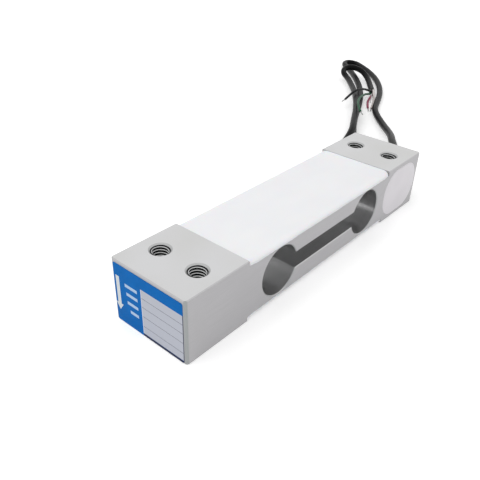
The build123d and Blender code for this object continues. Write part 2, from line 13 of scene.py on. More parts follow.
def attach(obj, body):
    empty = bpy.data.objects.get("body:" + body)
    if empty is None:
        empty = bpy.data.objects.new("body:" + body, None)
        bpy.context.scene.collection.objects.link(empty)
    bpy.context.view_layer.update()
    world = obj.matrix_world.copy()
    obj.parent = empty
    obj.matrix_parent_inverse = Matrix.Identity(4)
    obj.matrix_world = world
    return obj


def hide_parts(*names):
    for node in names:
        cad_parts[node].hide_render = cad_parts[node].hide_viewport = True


MM = 0.001
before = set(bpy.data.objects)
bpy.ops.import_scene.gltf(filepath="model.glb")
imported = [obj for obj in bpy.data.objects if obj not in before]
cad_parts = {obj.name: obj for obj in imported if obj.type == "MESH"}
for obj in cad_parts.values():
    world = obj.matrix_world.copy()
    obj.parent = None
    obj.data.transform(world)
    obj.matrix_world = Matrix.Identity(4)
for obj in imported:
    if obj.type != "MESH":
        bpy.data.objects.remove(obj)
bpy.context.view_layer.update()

# Camera, as worked out from the beam's corners and holes
CAMERA_PLACE = (-140.26, -96.23, 111.20)
CAMERA_AZIMUTH = 49.694     # degrees from +Y towards +X
CAMERA_ELEVATION = -32.529
CAMERA_ROLL = 1.730
CAMERA_LENS = 42.20         # for a 36 mm sensor

# Light
SKY_LIGHT = 0.72            # of the white surroundings, as soft light
KEY_POWER = 1.5             # watts
FLOOR_GLOW = 0.33           # what the floor adds to its own white where it is seen straight
FLOOR_REACH = 4.0           # metres from the middle to each edge

# Beam
HALF_WIDTH = 15.0
HEIGHT = 22.0
MIDDLE = HEIGHT / 2
RELIEF_HALF_LENGTH = 40.0
RELIEF_DEPTH = 1.8
BORE_X = 25.0
BORE_RADIUS = 8.5
SLOT_HALF_HEIGHT = 3.0
HOLE_X = 53.0
HOLE_Y = 7.5
NEAR = 0.05                 # a spot this near to a surface counts as on it

# Thread of the fixing holes
THREAD_PITCH = 1.0
THREAD_WALL_RADIUS = 3.0
THREAD_CREST_RADIUS = 2.46
THREAD_IN_WALL = 0.03       # how far its root reaches into the wall
THREAD_BEGINS = 0.45        # depth at which the helix begins and ends
THREAD_FROM_FACE = 0.4      # no part of it comes nearer to a face
THREAD_STEPS = 40           # points in one turn
MOUTH_RADIUS = 3.5
MOUTH_CREST_RADIUS = 3.05   # of the crest, where the thread runs out
ROOT_SHADE_BEGINS = 0.04           # distance past the crest at which painted shade begins to darken the metal
ROOT_SHADE_FULL = 0.2            # and at which it hides it

# Coat over the gauges
COAT_THICKNESS = 0.85
COAT_EDGE = 0.3             # its height where it begins to roll over
COAT_ROLL = 1.6             # width of that roll
COAT_CLIMB = 0.78           # how far it climbs the end blocks
COAT_CLIMB_WIDTH = 1.1      # distance in which that climb falls to a third
COAT_CROWN = 0.12
COAT_CORNER = 1.0
COAT_PROUD = 0.07           # how far it stands out over the beam's side
COAT_DRIP = 0.16            # how far it hangs down that side
COAT_FADE = 2.0             # distance from an end in which waves and drips come up
COAT_SWELL = 0.02           # height of its slow waves
COAT_INSIDE = 0.05          # its skin closes this far inside the beam's side
COAT_POINTS = (181, 61)     # along and across

# Pocket cover
COVER_X = 51.0
COVER_HALF_LENGTH = 12.3
COVER_HALF_HEIGHT = 9.4
COVER_CORNER = 8.6
COVER_THICKNESS = 0.2
COVER_RIM = 0.5             # width of its sloping rim
COVER_DOME = 0.05           # how far its middle stands up

# Strain gauges
FOIL_BEGINS = 0.12          # height above the relief's floor

# Cable, cores and bare ends
CABLE_RADIUS = 1.75
CABLE_WALL = 0.4
CABLE_LAY = 34.0            # length in which the cores under the jacket turn once
CABLE_RIPPLE = 0.012        # share of the radius by which those cores show
CABLE_SIDES = 28
CORE_RADIUS = 0.65
CORE_SIDES = 18
CORE_SPREAD = 0.75
CORE_STRAIGHT = 3.0
TIP_RADIUS = 0.3
TIP_LENGTH = 5.0
TIP_LAY = 9.0               # length in which its strands turn once
TIP_INSIDE = 0.2            # how far inside the insulation it begins
DRAIN_RADIUS = 0.25
DRAIN_LAY = 8.0
STRAND_SIDES = 8
LIES = CABLE_RADIUS
CORE_LIES = CORE_RADIUS
CABLE_ROUTE = [
    (49, 0, MIDDLE), (61, 0, MIDDLE + 0.04), (74, 0, MIDDLE), (85.5, 5, 10.4),
    (97, 12.4, 9), (107.2, 18, 6.9), (116.5, 23.8, 4.6), (129, 33.6, 2.4), (141.2, 44.3, LIES),
    (151, 51.6, LIES), (164.9, 57.3, LIES), (178.2, 63.2, LIES), (192, 71.4, LIES),
    (205.2, 81.9, LIES), (215.9, 93.3, LIES), (223.2, 103.5, LIES), (228, 111, LIES),
    (226.5, 117.2, LIES), (220.2, 116.4, LIES), (213.7, 109, LIES), (205, 100, LIES),
    (193.3, 89.2, LIES), (178, 77.3, LIES), (161.4, 67.2, LIES), (146, 59.3, LIES),
    (132.7, 53.2, LIES), (121.4, 47.4, LIES), (110, 40.9, LIES), (98.5, 32, LIES),
    (91, 21.5, LIES), (81.5, 16.2, LIES), (72.8, 20, LIES), (71.8, 29, LIES), (79, 34, LIES),
    (91.5, 34.6, 3.2), (104.3, 38.2, 5.4), (115.9, 44.5, 5.5), (129.2, 51.4, 5.5),
    (143.8, 59.8, 5.1), (160.3, 70.6, 4.2), (178.3, 84.2, 2.8), (187.4, 92.6, 3.2),
    (191, 98.9, 5), (196.2, 101, 6.6), (201, 97.6, 6.9), (201.6, 91, 6), (197.6, 84, 3.6),
    (188.8, 76.4, LIES), (178.6, 69.2, LIES),
]
# The corner of the cut end that a core comes from: across, then up. Then its points.
CORE_ROUTES = {
    "white": ((1, 1), [(173.1, 64.8, 1.9), (169.1, 61.9, 1.0), (161.2, 58.2, CORE_LIES),
                       (153.1, 54.7, CORE_LIES)]),
    "red": ((1, -1), [(173.6, 66.3, 1.0), (167.2, 64.4, CORE_LIES), (159.2, 61.0, CORE_LIES),
                      (152.2, 56.4, CORE_LIES)]),
    "green": ((-1, -1), [(164.5, 65.5, 4.2), (148.7, 60.1, 7.6), (138.7, 56.2, 8.5),
                         (130.5, 51.0, 8.5), (126.7, 47.2, 7.4)]),
    "black": ((-1, 1), [(170.0, 68.9, 5.0), (160.3, 67.3, 7.8), (154.2, 67.5, 8.0),
                        (150.4, 68.6, 6.0), (144.1, 67.5, 5.3)]),
}
DRAIN_ROUTE = [(169.6, 64.3, 2.8), (162.9, 60.9, 2.7), (156.9, 57.8, 2.2)]


def linear(colour):
    """An sRGB hex colour as linear red, green, blue and an alpha of 1."""
    channels = np.array([int(colour[k:k + 2], 16) for k in (1, 3, 5)]) / 255
    curved = ((channels + 0.055) / 1.055) ** 2.4
    return (*np.where(channels <= 0.04045, channels / 12.92, curved), 1.0)


def add(tree, kind, inputs=None, out=0, **settings):
    """Adds a node and returns its output. inputs gives values, or outputs to be linked."""
    node = tree.nodes.new(kind)
    for name, value in settings.items():
        setattr(node, name, value)
    for socket, value in (inputs or {}).items():
        if isinstance(value, bpy.types.NodeSocket):
            tree.links.new(value, node.inputs[socket])
        else:
            node.inputs[socket].default_value = value
    return node.outputs[out] if node.outputs else node


def blank(name):
    material = bpy.data.materials.new(name)
    material.use_nodes = True
    material.node_tree.nodes.clear()
    return material, material.node_tree


def finish_with(material, tree, sockets):
    shader = add(tree, "ShaderNodeBsdfPrincipled", sockets)
    add(tree, "ShaderNodeOutputMaterial", {"Surface": shader})
    return material


def grain(tree, size, stretch=(1, 1, 1), detail=3.0):
    """Noise with lumps of about that size in millimetres, longer along an axis by its stretch."""
    spot = add(tree, "ShaderNodeTexCoord", out="Object")
    scale = [1 / (MM * size * s) for s in stretch]
    spread = add(tree, "ShaderNodeMapping", {"Vector": spot, "Scale": scale})
    return add(tree, "ShaderNodeTexNoise", {"Vector": spread, "Scale": 1.0, "Detail": detail})


def between(tree, value, low, high, colour_low, colour_high):
    """Colour that runs from one to the other while value runs from low to high."""
    share = add(tree, "ShaderNodeMapRange", {"Value": value, "From Min": low, "From Max": high})
    return add(tree, "ShaderNodeMix", {0: share, 6: linear(colour_low), 7: linear(colour_high)},
               out=2, data_type="RGBA")


def relief(tree, height, depth, normal=None):
    """Bump whose full height is depth in millimetres."""
    inputs = {"Height": height, "Distance": depth * MM, "Strength": 1.0}
    if normal is not None:
        inputs["Normal"] = normal
    return add(tree, "ShaderNodeBump", inputs)


def from_hole_axis(tree):
    """Distance of a spot from the axis of the nearest fixing hole. The four holes stand alike on
    both sides of x = 0 and of y = 0, so the spot is folded into one quarter first."""
    spot = add(tree, "ShaderNodeTexCoord", out="Object")
    folded = add(tree, "ShaderNodeVectorMath", {0: spot}, operation="ABSOLUTE")
    flat = add(tree, "ShaderNodeVectorMath", {0: folded, 1: (1, 1, 0)}, operation="MULTIPLY")
    return add(tree, "ShaderNodeVectorMath", {0: flat, 1: (HOLE_X * MM, HOLE_Y * MM, 0)},
               out="Value", operation="DISTANCE")


# Materials

def anodised_aluminium():
    """Clear anodised aluminium bar, milled and fine blasted: an even satin with a faint grit, and
    drawn lines along the bar that show only at a glance. The drawn sides are painted darker than
    the milled top and bottom as painted shade, and the broken upright corners and hole mouths are
    painted in a darker grey than the top as painted shade. The bores and the slot are left as cut:
    brighter, smoother and lined round their axis, which runs along Y, with their grey painted
    darker than the top as painted shade. The real grit and lines are nearer 0.1 mm, and both are
    drawn coarser so that they show."""
    material, tree = blank("anodised_aluminium")
    spot = add(tree, "ShaderNodeTexCoord", out="Object")
    x, z = (add(tree, "ShaderNodeSeparateXYZ", {0: spot}, out=k) for k in (0, 2))
    from_middle = add(tree, "ShaderNodeMath", {0: z, 1: MIDDLE * MM}, operation="SUBTRACT")
    sideways = add(tree, "ShaderNodeMath", {0: x}, operation="ABSOLUTE")
    from_bore = add(tree, "ShaderNodeMath", {0: sideways, 1: BORE_X * MM}, operation="SUBTRACT")
    level = add(tree, "ShaderNodeCombineXYZ", {0: from_bore, 1: from_middle})
    radius = add(tree, "ShaderNodeVectorMath", {0: level}, out="Value", operation="LENGTH")
    in_bore = add(tree, "ShaderNodeMath", {0: radius, 1: (BORE_RADIUS + NEAR) * MM},
                  operation="LESS_THAN")
    near_slot = add(tree, "ShaderNodeMath", {0: from_middle, 1: 0.0,
                                             2: (SLOT_HALF_HEIGHT + NEAR) * MM},
                    operation="COMPARE")
    along_slot = add(tree, "ShaderNodeMath", {0: sideways, 1: BORE_X * MM}, operation="LESS_THAN")
    in_slot = add(tree, "ShaderNodeMath", {0: near_slot, 1: along_slot}, operation="MULTIPLY")
    cut = add(tree, "ShaderNodeMath", {0: in_bore, 1: in_slot}, operation="MAXIMUM")

    grit = grain(tree, 0.35)
    drawn = grain(tree, 0.25, (60, 1, 1), 2.0)
    cloud = grain(tree, 22.0, detail=1.0)
    turned = grain(tree, 0.5, (40, 1, 40), 2.0)
    face = between(tree, cloud, 0.35, 0.65, "#D0D0CF", "#D6D6D7")
    # painted shade: the sides get a darker grey than the top and bottom, chosen by which way a face
    # points
    side = between(tree, drawn, 0.3, 0.7, "#AEADAF", "#B4B3B5")
    # turned grain, with a grey darker than the top as painted shade inside the bores and slot
    bare = between(tree, turned, 0.3, 0.7, "#C2C2C3", "#C9C9C9")
    facing = add(tree, "ShaderNodeTexCoord", out="Normal")
    tilt = [add(tree, "ShaderNodeSeparateXYZ", {0: facing}, out=k) for k in range(3)]
    tilt = [add(tree, "ShaderNodeMath", {0: part}, operation="ABSOLUTE") for part in tilt]
    is_face = add(tree, "ShaderNodeMapRange", {"Value": tilt[2], "From Min": 0.5, "From Max": 0.95})
    skin = add(tree, "ShaderNodeMix", {0: is_face, 6: side, 7: face}, out=2, data_type="RGBA")
    turning = add(tree, "ShaderNodeMath", {0: tilt[0], 1: tilt[1]}, operation="MULTIPLY")
    # painted shade: the rounded upright corners get a darker grey than the sides
    corner_shade = add(tree, "ShaderNodeMapRange", {"Value": turning, "From Min": 0.05,
                                                 "From Max": 0.3})
    skin = add(tree, "ShaderNodeMix", {0: corner_shade, 6: skin, 7: linear("#9B9E9E")}, out=2,
               data_type="RGBA")
    # painted shade: the chamfered hole mouths get a darker grey than the top
    mouth_shade = add(tree, "ShaderNodeMath", {0: from_hole_axis(tree), 1: (MOUTH_RADIUS + NEAR) * MM},
                   operation="LESS_THAN")
    skin = add(tree, "ShaderNodeMix", {0: mouth_shade, 6: skin, 7: linear("#BEBFBF")}, out=2,
               data_type="RGBA")
    colour = add(tree, "ShaderNodeMix", {0: cut, 6: skin, 7: bare}, out=2, data_type="RGBA")
    lines = add(tree, "ShaderNodeMix", {0: cut, 2: drawn, 3: turned}, data_type="FLOAT")
    coarse = relief(tree, lines, 0.002)
    satin = add(tree, "ShaderNodeMapRange", {"Value": grit, "From Min": 0.3, "From Max": 0.7,
                                             "To Min": 0.40, "To Max": 0.50})
    rough = add(tree, "ShaderNodeMix", {0: cut, 2: satin, 3: 0.24}, data_type="FLOAT")
    return finish_with(material, tree, {
        "Base Color": colour, "Metallic": 0.85, "Roughness": rough,
        "Normal": relief(tree, grit, 0.006, coarse)})


def tapped_aluminium():
    """Aluminium as the tap leaves it: bright crests over roots painted dark, a painted shade in the
    grooves.
    """
    material, tree = blank("tapped_aluminium")
    # painted shade: the grey runs from bright at the crest to near black towards the root
    shade = between(tree, from_hole_axis(tree), (THREAD_CREST_RADIUS + ROOT_SHADE_BEGINS) * MM,
                    (THREAD_CREST_RADIUS + ROOT_SHADE_FULL) * MM, "#E4E5E5", "#1E1E20")
    return finish_with(material, tree, {
        "Base Color": shade, "Metallic": 0.9, "Roughness": 0.3,
        "Normal": relief(tree, grain(tree, 0.12), 0.004)})


def white_silicone():
    """White silicone rubber, poured and wiped level: soft satin with long shallow waves."""
    material, tree = blank("white_silicone")
    swells = grain(tree, 9.0, (2, 1, 1), 1.0)
    skin = grain(tree, 0.5)
    return finish_with(material, tree, {
        "Base Color": between(tree, swells, 0.3, 0.7, "#F0F0F3", "#F3F3F5"), "Roughness": 0.48,
        "Subsurface Weight": 0.15, "Subsurface Scale": 0.001,
        "Normal": relief(tree, skin, 0.004, relief(tree, swells, 0.05))})


def satin_cover_film():
    """Metallised polyester film with a satin face: pale, slightly warm, nearly even."""
    material, tree = blank("satin_cover_film")
    cloud = grain(tree, 7.0, detail=1.0)
    skin = grain(tree, 0.3)
    return finish_with(material, tree, {
        "Base Color": between(tree, cloud, 0.3, 0.7, "#D7D4D8", "#DBD8DC"), "Metallic": 0.35,
        "Roughness": 0.42, "Normal": relief(tree, skin, 0.003, relief(tree, cloud, 0.03))})


ARROW_WHITE = "#D9DFE0"
LABEL_FIELDS = [
    # colour, then low and high corner as (y, z)
    ("#C0C3CD", (-14.5, 1.3), (2.4, 17.0)),      # pale table
    ("#E3E6EB", (2.4, 1.3), (2.6, 17.0)),        # its borders
    # painted shade: a dark strip along the label's edge by the rounded corner
    ("#4A5063", (-14.5, 1.3), (-13.85, 17.0)),
    ("#5E6170", (-14.0, 13.93), (2.4, 14.07)),   # rules
    ("#5E6170", (-14.0, 10.83), (2.4, 10.97)),
    ("#5E6170", (-14.0, 7.53), (2.4, 7.67)),
    ("#5E6170", (-14.0, 3.93), (2.4, 4.07)),
    ("#2B3350", (-14.5, 0.0), (2.6, 1.25)),      # foot line
    ("#B4CBE6", (4.2, 14.4), (9.4, 15.5)),       # short plain bars
    ("#B4CBE6", (4.2, 11.5), (9.0, 12.6)),
    ("#B4CBE6", (4.2, 8.5), (8.8, 9.6)),
    ("#B4CBE6", (4.2, 5.6), (7.8, 6.7)),
    (ARROW_WHITE, (11.75, 6.9), (13.25, 16.8)),  # arrow's shaft
]
ARROW_Y = 12.5
ARROW_TIP_Z = 4.6
ARROW_HEAD = 2.4            # height of the head
ARROW_HEAD_WIDTH = 3.2


def printed_label():
    """Printed polyester label: flat fields of ink under a clear satin film. Blue ground, a pale
    table with thin rules, and an arrow that points down, with the load."""
    material, tree = blank("printed_label")
    spot = add(tree, "ShaderNodeTexCoord", out="Object")
    y, z = (add(tree, "ShaderNodeSeparateXYZ", {0: spot}, out=k) for k in (1, 2))
    ink = between(tree, grain(tree, 4.0), 0.3, 0.7, "#0064B0", "#006BBB")
    for colour, low, high in LABEL_FIELDS:
        share = 1.0
        for value, start, end in ((y, low[0], high[0]), (z, low[1], high[1])):
            inside = add(tree, "ShaderNodeMath", {0: value, 1: (start + end) / 2 * MM,
                                                  2: (end - start) / 2 * MM}, operation="COMPARE")
            share = add(tree, "ShaderNodeMath", {0: inside, 1: share}, operation="MULTIPLY")
        ink = add(tree, "ShaderNodeMix", {0: share, 6: ink, 7: linear(colour)}, out=2,
                  data_type="RGBA")
    above = add(tree, "ShaderNodeMath", {0: z, 1: ARROW_TIP_Z * MM}, operation="SUBTRACT")
    reach = add(tree, "ShaderNodeMath", {0: above, 1: ARROW_HEAD_WIDTH / 2 / ARROW_HEAD},
                operation="MULTIPLY")
    aside = add(tree, "ShaderNodeMath", {0: y, 1: ARROW_Y * MM}, operation="SUBTRACT")
    width = add(tree, "ShaderNodeMath", {0: aside}, operation="ABSOLUTE")
    inside = add(tree, "ShaderNodeMath", {0: width, 1: reach}, operation="LESS_THAN")
    below = add(tree, "ShaderNodeMath", {0: above, 1: ARROW_HEAD * MM}, operation="LESS_THAN")
    head = add(tree, "ShaderNodeMath", {0: inside, 1: below}, operation="MULTIPLY")
    ink = add(tree, "ShaderNodeMix", {0: head, 6: ink, 7: linear(ARROW_WHITE)}, out=2,
              data_type="RGBA")
    return finish_with(material, tree, {
        "Base Color": ink, "Roughness": 0.5, "Specular IOR Level": 0.05,
        "Normal": relief(tree, grain(tree, 0.4), 0.002)})


def plain_polymer(name, dark, light, roughness, gloss=0.5):
    """Extruded or moulded polymer, such as PVC, rubber or epoxy: an even colour with faint
    clouding and a fine orange peel. The peel is drawn coarser than the real one, to show."""
    material, tree = blank(name)
    cloud = grain(tree, 3.0, detail=2.0)
    return finish_with(material, tree, {
        "Base Color": between(tree, cloud, 0.3, 0.7, dark, light), "Roughness": roughness,
        "Specular IOR Level": gloss, "Normal": relief(tree, grain(tree, 0.25), 0.01)})


def drawn_metal(name, dark, light, roughness):
    """Drawn or tinned wire and flowed solder: bright metal with a mottled skin."""
    material, tree = blank(name)
    mottle = grain(tree, 0.3)
    return finish_with(material, tree, {
        "Base Color": between(tree, mottle, 0.3, 0.7, dark, light), "Metallic": 1.0,
        "Roughness": roughness, "Normal": relief(tree, mottle, 0.004)})


def gauge_film():
    """Strain gauge: amber polyimide film with a dull foil grid that stands on it. The foil is
    told from the film by its height from the beam's middle."""
    material, tree = blank("gauge_film")
    spot = add(tree, "ShaderNodeTexCoord", out="Object")
    z = add(tree, "ShaderNodeSeparateXYZ", {0: spot}, out=2)
    offset = add(tree, "ShaderNodeMath", {0: z, 1: MIDDLE * MM}, operation="SUBTRACT")
    height = add(tree, "ShaderNodeMath", {0: offset}, operation="ABSOLUTE")
    foil = add(tree, "ShaderNodeMath", {0: height, 1: (MIDDLE - RELIEF_DEPTH + FOIL_BEGINS) * MM},
               operation="GREATER_THAN")
    mottle = grain(tree, 0.4)
    film = between(tree, mottle, 0.3, 0.7, "#B4741F", "#C98A34")
    metal = between(tree, mottle, 0.3, 0.7, "#A8A29A", "#BDB7AE")
    colour = add(tree, "ShaderNodeMix", {0: foil, 6: film, 7: metal}, out=2, data_type="RGBA")
    return finish_with(material, tree, {
        "Base Color": colour, "Metallic": foil, "Roughness": 0.4,
        "Normal": relief(tree, mottle, 0.003)})


def seen_straight(tree):
    """1 for rays from the camera, a mirror or a glass, and 0 for rays that carry soft light."""
    seen = 0.0
    for kind in ("Is Camera Ray", "Is Glossy Ray", "Is Transmission Ray"):
        ray = add(tree, "ShaderNodeLightPath", out=kind)
        seen = add(tree, "ShaderNodeMath", {0: ray, 1: seen}, operation="MAXIMUM")
    return seen


def studio_floor():
    """Matt white sheet that serves as floor and background."""
    material, tree = blank("studio_floor")
    glow = add(tree, "ShaderNodeMath", {0: seen_straight(tree), 1: FLOOR_GLOW},
               operation="MULTIPLY")
    return finish_with(material, tree, {
        "Base Color": linear("#F7F7F7"), "Roughness": 0.9, "Specular IOR Level": 0.1,
        "Emission Color": (1, 1, 1, 1), "Emission Strength": glow})


# Shapes

def shell(name, rings, crease=35.0):
    """Closed skin over a stack of closed rings, an array of stations, points round and 3, in
    millimetres, with a fan over each end. It is turned so that its faces point outwards."""
    stations, around = rings.shape[:2]
    ends = np.stack([rings[0].mean(0), rings[-1].mean(0)])
    points = np.concatenate([rings.reshape(-1, 3), ends]) * MM
    index = np.arange(stations * around).reshape(stations, around)
    beside = np.roll(index, -1, axis=1)
    quads = np.stack([index[:-1], beside[:-1], beside[1:], index[1:]], axis=-1).reshape(-1, 4)
    centres = np.repeat([[len(points) - 2], [len(points) - 1]], around, axis=1)
    fans = np.concatenate([np.stack([centres[0], beside[0], index[0]], axis=-1),
                           np.stack([centres[1], index[-1], beside[-1]], axis=-1)])
    a, b, c = np.moveaxis(points[np.concatenate([quads[:, :3], quads[:, [0, 2, 3]], fans])], 1, 0)
    if np.einsum("ij,ij->", a, np.cross(b, c)) < 0:
        quads, fans = quads[:, ::-1], fans[:, ::-1]
    mesh = bpy.data.meshes.new(name)
    mesh.from_pydata(points.tolist(), [], quads.tolist() + fans.tolist())
    mesh.polygons.foreach_set("use_smooth", np.ones(len(mesh.polygons), bool))
    mesh.set_sharp_from_angle(angle=np.radians(crease))
    piece = bpy.data.objects.new(name, mesh)
    bpy.context.scene.collection.objects.link(piece)
    return piece


def dress(piece, material, replaces=()):
    """Gives a new piece its material and its body, and hides the nodes that it stands for."""
    piece.data.materials.append(material)
    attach(piece, "root")
    if replaces:
        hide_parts(*replaces)
    return piece


def waves(values, lengths, seed):
    """Sum of sines of the given wavelengths with seeded phases, between about -1 and 1."""
    phases = np.random.default_rng(seed).uniform(0, 2 * np.pi, len(lengths))
    parts = [np.sin(2 * np.pi * values / length + phase) for length, phase in zip(lengths, phases)]
    return np.sum(parts, axis=0) / len(lengths)


def coat(name, up, seed):
    """Coat over one relieved face. Along it, x follows a sine so that points crowd at the ends.
    Across it, the half width shrinks on a circle at the corners. The height is a quarter ellipse
    over the roll at the long edges, plus a crown that falls with the square of y, a climb up the
    end blocks that falls exponentially, and slow waves. The long edges reach a little way down
    the beam's sides, and further out the nearer they are to the middle."""
    along, across = COAT_POINTS
    x = RELIEF_HALF_LENGTH * np.sin(np.linspace(-np.pi / 2, np.pi / 2, along))
    into_corner = np.clip(np.abs(x) - (RELIEF_HALF_LENGTH - COAT_CORNER), 0, COAT_CORNER)
    half = HALF_WIDTH - COAT_CORNER + np.sqrt(COAT_CORNER ** 2 - into_corner ** 2)
    free = np.clip((RELIEF_HALF_LENGTH - COAT_CORNER - np.abs(x)) / COAT_FADE, 0, 1)
    free = free ** 2 * (3 - 2 * free)
    proud = COAT_PROUD * (1 + 0.8 * waves(x, (23, 9.1, 4.3, 1.9), seed)) * free
    drip = COAT_DRIP * (1 + waves(x, (31, 12.7, 5.1, 2.3), seed + 1)) * free
    half = (half + proud)[:, None]
    y = half * np.sin(np.linspace(-np.pi / 2, np.pi / 2, across))[None]
    edge = np.clip((half - np.abs(y)) / COAT_ROLL, 0, 1)
    end = (RELIEF_HALF_LENGTH - np.abs(x))[:, None]
    climb = COAT_CLIMB * np.exp(-end / COAT_CLIMB_WIDTH)
    end = np.clip(end / COAT_FADE, 0, 1)
    roll = np.sqrt(1 - (1 - edge) ** 2)
    swell = (waves(x[:, None] + 0.6 * y, (37, 17), seed + 2)
             + waves(y - 0.4 * x[:, None], (13, 29), seed + 3))
    height = COAT_EDGE + (COAT_THICKNESS - COAT_EDGE + climb) * roll
    height = height + COAT_CROWN * (1 - (y / HALF_WIDTH) ** 2) * end
    height = height + COAT_SWELL * swell * edge * end
    top = np.stack([np.broadcast_to(x[:, None], y.shape), y, height], axis=-1)
    inner = np.minimum(half[:, 0], HALF_WIDTH) - COAT_INSIDE
    foot = [np.stack([x, side * width, level], axis=-1) for side, width, level in (
        (1, half[:, 0], -drip), (1, inner, -drip), (1, inner, 0 * x),
        (-1, inner, 0 * x), (-1, inner, -drip), (-1, half[:, 0], -drip))]
    rings = np.concatenate([top, np.stack(foot, axis=1)], axis=1)
    floor = HEIGHT - RELIEF_DEPTH
    rings[..., 2] = floor + rings[..., 2] if up else HEIGHT - floor - rings[..., 2]
    return shell(name, rings)


def thread(name, x, y):
    """Thread of one tapped hole: a blunt wedge carried up a helix, whose angle grows by a full
    turn in each pitch. Its root keeps to the wall and to the cone of each mouth, and its crest to
    the tap's radius and to a cone that lies a little inside that one."""
    low, high = THREAD_BEGINS, HEIGHT - THREAD_BEGINS
    z = np.linspace(low, high, int((high - low) / THREAD_PITCH * THREAD_STEPS) + 1)[:, None]
    turn = 2 * np.pi * z / THREAD_PITCH
    depth = np.minimum(z, HEIGHT - z)
    crest = np.clip(MOUTH_CREST_RADIUS - depth, THREAD_CREST_RADIUS, None)
    wall = np.clip(MOUTH_RADIUS - depth, THREAD_WALL_RADIUS, None) + THREAD_IN_WALL
    radius = np.concatenate([wall, crest, crest, wall], axis=1)
    rise = THREAD_PITCH * np.array([0.49, 0.08, -0.08, -0.49])
    height = np.clip(z + rise, THREAD_FROM_FACE, HEIGHT - THREAD_FROM_FACE)
    return shell(name, np.stack([x + radius * np.cos(turn), y + radius * np.sin(turn), height], -1))


def cover(name):
    """Cover over the wiring pocket: rings of one rounded outline, a corner being a quarter
    circle. They climb the rim, whose height is a quarter of a sine, and then a faint dome, whose
    height is given ring by ring."""
    corner = np.linspace(0, np.pi / 2, 13)
    angle = np.concatenate([corner + k * np.pi / 2 for k in range(4)])
    wide = np.repeat([1, -1, -1, 1], len(corner)) * (COVER_HALF_LENGTH - COVER_CORNER)
    tall = np.repeat([1, 1, -1, -1], len(corner)) * (COVER_HALF_HEIGHT - COVER_CORNER)
    rim = np.linspace(0, np.pi / 2, 7)
    dome_inset = [0.8, 1.6, 2.8, 4.2, 6.0, 8.2]
    dome_share = np.array([0.1, 0.3, 0.6, 0.85, 0.97, 1.0])
    inset = np.concatenate([[0], COVER_RIM * rim / rim[-1], dome_inset])
    lift = np.concatenate([[-0.02], COVER_THICKNESS * np.sin(rim),
                           COVER_THICKNESS + COVER_DOME * dome_share])
    corner_radius = (COVER_CORNER - inset)[:, None]
    round_x = wide[None] + corner_radius * np.cos(angle)[None]
    round_z = tall[None] + corner_radius * np.sin(angle)[None]
    out = np.broadcast_to(-HALF_WIDTH - lift[:, None], round_x.shape)
    return shell(name, np.stack([COVER_X + round_x, out, MIDDLE + round_z], axis=-1))


def smooth_line(name, route):
    """Points along a smooth line that has the route's points as its control points. The line is
    a quadratic B-spline, and all is in millimetres."""
    curve = bpy.data.curves.new(name, "CURVE")
    curve.dimensions = "3D"
    spline = curve.splines.new("NURBS")
    spline.points.add(len(route) - 1)
    for point, place in zip(spline.points, route):
        point.co = (*(Vector(place) * MM), 1.0)
    spline.order_u = 3
    spline.use_endpoint_u = True
    spline.resolution_u = 14
    holder = bpy.data.objects.new(name, curve)
    mesh = bpy.data.meshes.new_from_object(holder)
    line = np.zeros(len(mesh.vertices) * 3)
    mesh.vertices.foreach_get("co", line)
    bpy.data.meshes.remove(mesh)
    bpy.data.objects.remove(holder)
    bpy.data.curves.remove(curve)
    return line.reshape(-1, 3) / MM


def directions(line):
    """Unit vectors along a line, across it and level, and upwards from it, at each point."""
    along = np.gradient(line, axis=0)
    along /= np.linalg.norm(along, axis=1)[:, None]
    across = np.cross([0, 0, 1], along)
    across /= np.linalg.norm(across, axis=1)[:, None]
    return along, across, np.cross(along, across)


def distance_along(line):
    steps = np.linalg.norm(np.diff(line, axis=0), axis=1)
    return np.concatenate([[0], np.cumsum(steps)])


def round_rings(line, radius, sides, mouth=0.0, ripple=0.0, strands=4, lay=1.0):
    """Circles carried along a line. ripple swells the radius over each of the strands that turn
    once in every lay under the skin. mouth is the wall left at a hollow cut end, or 0."""
    _, across, upward = directions(line)
    angle = np.linspace(0, 2 * np.pi, sides, endpoint=False)[None]
    phase = strands * (angle - 2 * np.pi * distance_along(line)[:, None] / lay)
    size = (radius * (1 + ripple * np.cos(phase)))[..., None]
    rings = line[:, None] + size * (np.cos(angle)[..., None] * across[:, None]
                                    + np.sin(angle)[..., None] * upward[:, None])
    if mouth:
        centre = line[[-1, -3], None]
        inner = centre + (rings[[-1, -3]] - centre) * (1 - mouth / radius)
        rings = np.concatenate([rings, inner])
    return rings


def strand_bundle(name, line, radius, lay):
    """Seven strands in one mesh: one down the middle and six wound round it, each turning once
    in every lay. A strand is a third of the bundle's width."""
    _, across, upward = directions(line)
    thin = radius / 3
    turn = 2 * np.pi * distance_along(line) / lay
    rings = [round_rings(line, thin, STRAND_SIDES)]
    for k in range(6):
        angle = (turn + k * np.pi / 3)[:, None]
        centre = line + 2 * thin * (np.cos(angle) * across + np.sin(angle) * upward)
        rings.append(round_rings(centre, thin, STRAND_SIDES))
    parts = [shell(f"{name}_strand_{k}", ring, crease=60) for k, ring in enumerate(rings)]
    with bpy.context.temp_override(active_object=parts[0], selected_editable_objects=parts):
        bpy.ops.object.join()
    parts[0].name = name
    return parts[0]


def cut_end_route(side, up, points):
    """Route of a core from its own corner of the jacket's cut end, straight out at first."""
    end = np.array(CABLE_ROUTE[-1], float)
    along = end - np.array(CABLE_ROUTE[-2], float)
    along /= np.linalg.norm(along)
    across = np.cross([0, 0, 1], along)
    across /= np.linalg.norm(across)
    start = end + across * side * CORE_SPREAD + np.cross(along, across) * up * CORE_SPREAD
    return [tuple(start), tuple(start + along * CORE_STRAIGHT)] + points


def tip_line(route):
    """Straight level line that carries a core's last run on past its insulation."""
    last, before = np.array(route[-1], float), np.array(route[-2], float)
    level = (last - before) * (1, 1, 0)
    level /= np.linalg.norm(level)
    return last + level * np.linspace(-TIP_INSIDE, TIP_LENGTH, 24)[:, None]


# Build

